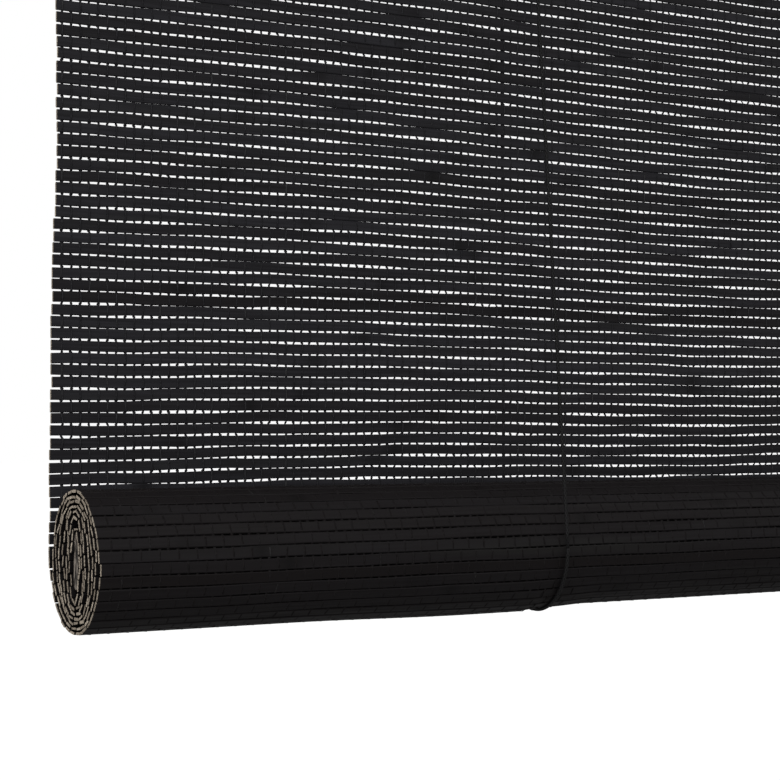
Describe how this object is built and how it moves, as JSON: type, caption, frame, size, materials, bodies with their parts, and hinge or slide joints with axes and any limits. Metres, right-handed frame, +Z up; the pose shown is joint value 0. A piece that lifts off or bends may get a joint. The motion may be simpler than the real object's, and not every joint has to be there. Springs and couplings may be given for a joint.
{
  "type": "bamboo roll up blind",
  "caption": "Woven bamboo roll up blind, half raised: a slatted mat under a clamped headrail, rolled up in two cord slings that run over pulleys to a cord lock.",
  "frame": {"origin": "middle of the two fixing holes, on the back face of the headrail", "axes": "+X along the blind's width, to the right seen from the room, +Y into the wall, +Z up"},
  "size_m": [1, 0.0814, 0.5471],
  "materials": {
    "headrail_wood": "stained, satin",
    "black_bamboo": "stained black, dull",
    "screw_steel": "zinc plated",
    "black_steel": "painted, satin",
    "wheel_plastic": "moulded, satin",
    "lift_cord": "braided cord",
    "pull_wood": "stained, satin"
  },
  "bodies": {
    "headrail": {"headrail_back": "headrail_wood", "headrail_front": "headrail_wood", "hanging_mat": "black_bamboo", "clamp_screws": "screw_steel", "pulley_screws": "screw_steel", "lock_screws": "screw_steel", "left_pulley_pin": "screw_steel", "right_pulley_pin": "screw_steel", "lock_roller_pin": "screw_steel", "lock_pawl_pin": "screw_steel", "left_screw_eye": "screw_steel", "right_screw_eye": "screw_steel", "left_pulley_bracket": "black_steel", "right_pulley_bracket": "black_steel", "lock_bracket": "black_steel", "wooden_pull": "pull_wood", "left_cord_knot": "lift_cord", "left_cord_back_run": "lift_cord", "left_cord_front_run": "lift_cord", "left_cord_rail_run": "lift_cord", "left_cord_tail": "lift_cord", "left_cord_end": "lift_cord", "right_cord_knot": "lift_cord", "right_cord_back_run": "lift_cord", "right_cord_front_run": "lift_cord", "right_cord_rail_run": "lift_cord", "right_cord_tail": "lift_cord", "right_cord_end": "lift_cord", "cord_coil": "lift_cord", "coil_tie": "lift_cord"},
    "cord_slings": {"left_cord_sling": "lift_cord", "right_cord_sling": "lift_cord"},
    "roll": {"mat_roll": "black_bamboo", "bottom_rail": "headrail_wood"},
    "left_wheel": {"left_pulley_wheel": "wheel_plastic"},
    "right_rear_wheel": {"right_pulley_rear_wheel": "wheel_plastic"},
    "right_front_wheel": {"right_pulley_front_wheel": "wheel_plastic"},
    "lock_wheel": {"lock_roller": "wheel_plastic"},
    "pawl": {"lock_pawl": "wheel_plastic"}
  },
  "joints": [
    {"name": "roll_lift", "type": "slide", "parent": "headrail", "child": "cord_slings", "axis": [0, 0, 1], "range_m": [0, 0.375], "deforming": ["hanging_mat", "left_cord_front_run", "right_cord_front_run", "left_cord_back_run", "right_cord_back_run"]},
    {"name": "roll_turn", "type": "hinge", "parent": "cord_slings", "child": "roll", "pos_m": [0, -0.047, -0.5025], "axis": [1, 0, 0], "range_deg": [-692, 0]},
    {"name": "left_wheel_spin", "type": "hinge", "parent": "headrail", "child": "left_wheel", "pos_m": [-0.25365, -0.0356, -0.0225], "axis": [0, 1, 0], "range_deg": [0, 6770]},
    {"name": "right_rear_wheel_spin", "type": "hinge", "parent": "headrail", "child": "right_rear_wheel", "pos_m": [0.25885, -0.0356, -0.0225], "axis": [0, 1, 0], "range_deg": [0, 6770]},
    {"name": "right_front_wheel_spin", "type": "hinge", "parent": "headrail", "child": "right_front_wheel", "pos_m": [0.25885, -0.0409, -0.0225], "axis": [0, 1, 0], "range_deg": [0, 6770]},
    {"name": "lock_roller_spin", "type": "hinge", "parent": "headrail", "child": "lock_wheel", "pos_m": [0.455, -0.0356, -0.0225], "axis": [0, 1, 0], "range_deg": [0, 6770]},
    {"name": "pawl_release", "type": "hinge", "parent": "headrail", "child": "pawl", "pos_m": [0.471, -0.03825, -0.0175], "axis": [0, 1, 0], "range_deg": [-40, 0]}
  ],
  "couplings": [
    {"joint": "roll_turn", "follows": "roll_lift", "rad_per_m": -32.154},
    {"joint": "left_wheel_spin", "follows": "roll_lift", "rad_per_m": 314.96},
    {"joint": "right_rear_wheel_spin", "follows": "roll_lift", "rad_per_m": 314.96},
    {"joint": "right_front_wheel_spin", "follows": "roll_lift", "rad_per_m": 314.96},
    {"joint": "lock_roller_spin", "follows": "roll_lift", "rad_per_m": 314.96}
  ]
}
